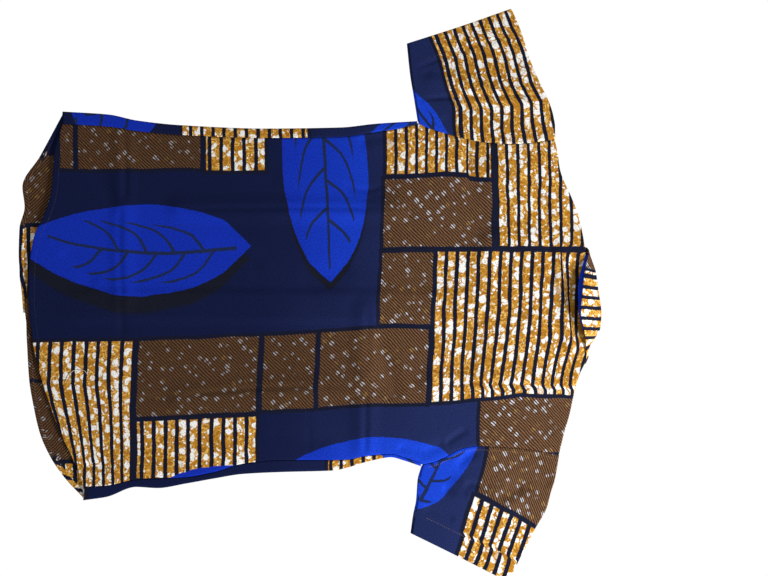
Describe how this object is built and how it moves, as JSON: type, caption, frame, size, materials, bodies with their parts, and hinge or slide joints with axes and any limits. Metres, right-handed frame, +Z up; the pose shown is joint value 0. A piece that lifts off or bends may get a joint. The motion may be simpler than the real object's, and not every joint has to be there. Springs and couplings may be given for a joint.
{
  "type": "short-sleeved shirt",
  "caption": "Short-sleeved buttoned shirt with a fold-over collar and a curved shirt-tail hem, laid flat face down, its sides wrapped up over the back.",
  "frame": {"origin": "centre of the bounding box in plan, at the level of the surface that the shirt lies on", "axes": "+X from the hem to the neck, +Y to the wearer's left sleeve, +Z up from the surface"},
  "size_m": [0.788, 0.7751, 0.0235],
  "materials": {
    "back": "printed plain-weave cotton",
    "front": "printed plain-weave cotton",
    "sleeve": "printed plain-weave cotton",
    "stand": "dyed plain-weave cotton",
    "fall": "printed plain-weave cotton",
    "button": "satin"
  },
  "bodies": {
    "root": {"back": "back", "front_left": "front", "front_right": "front", "sleeve_left": "sleeve", "sleeve_right": "sleeve", "collar_stand": "stand", "collar_fall": "fall", "button_1": "button", "button_2": "button", "button_3": "button", "button_4": "button", "button_5": "button", "button_6": "button", "button_7": "button"}
  },
  "joints": []
}
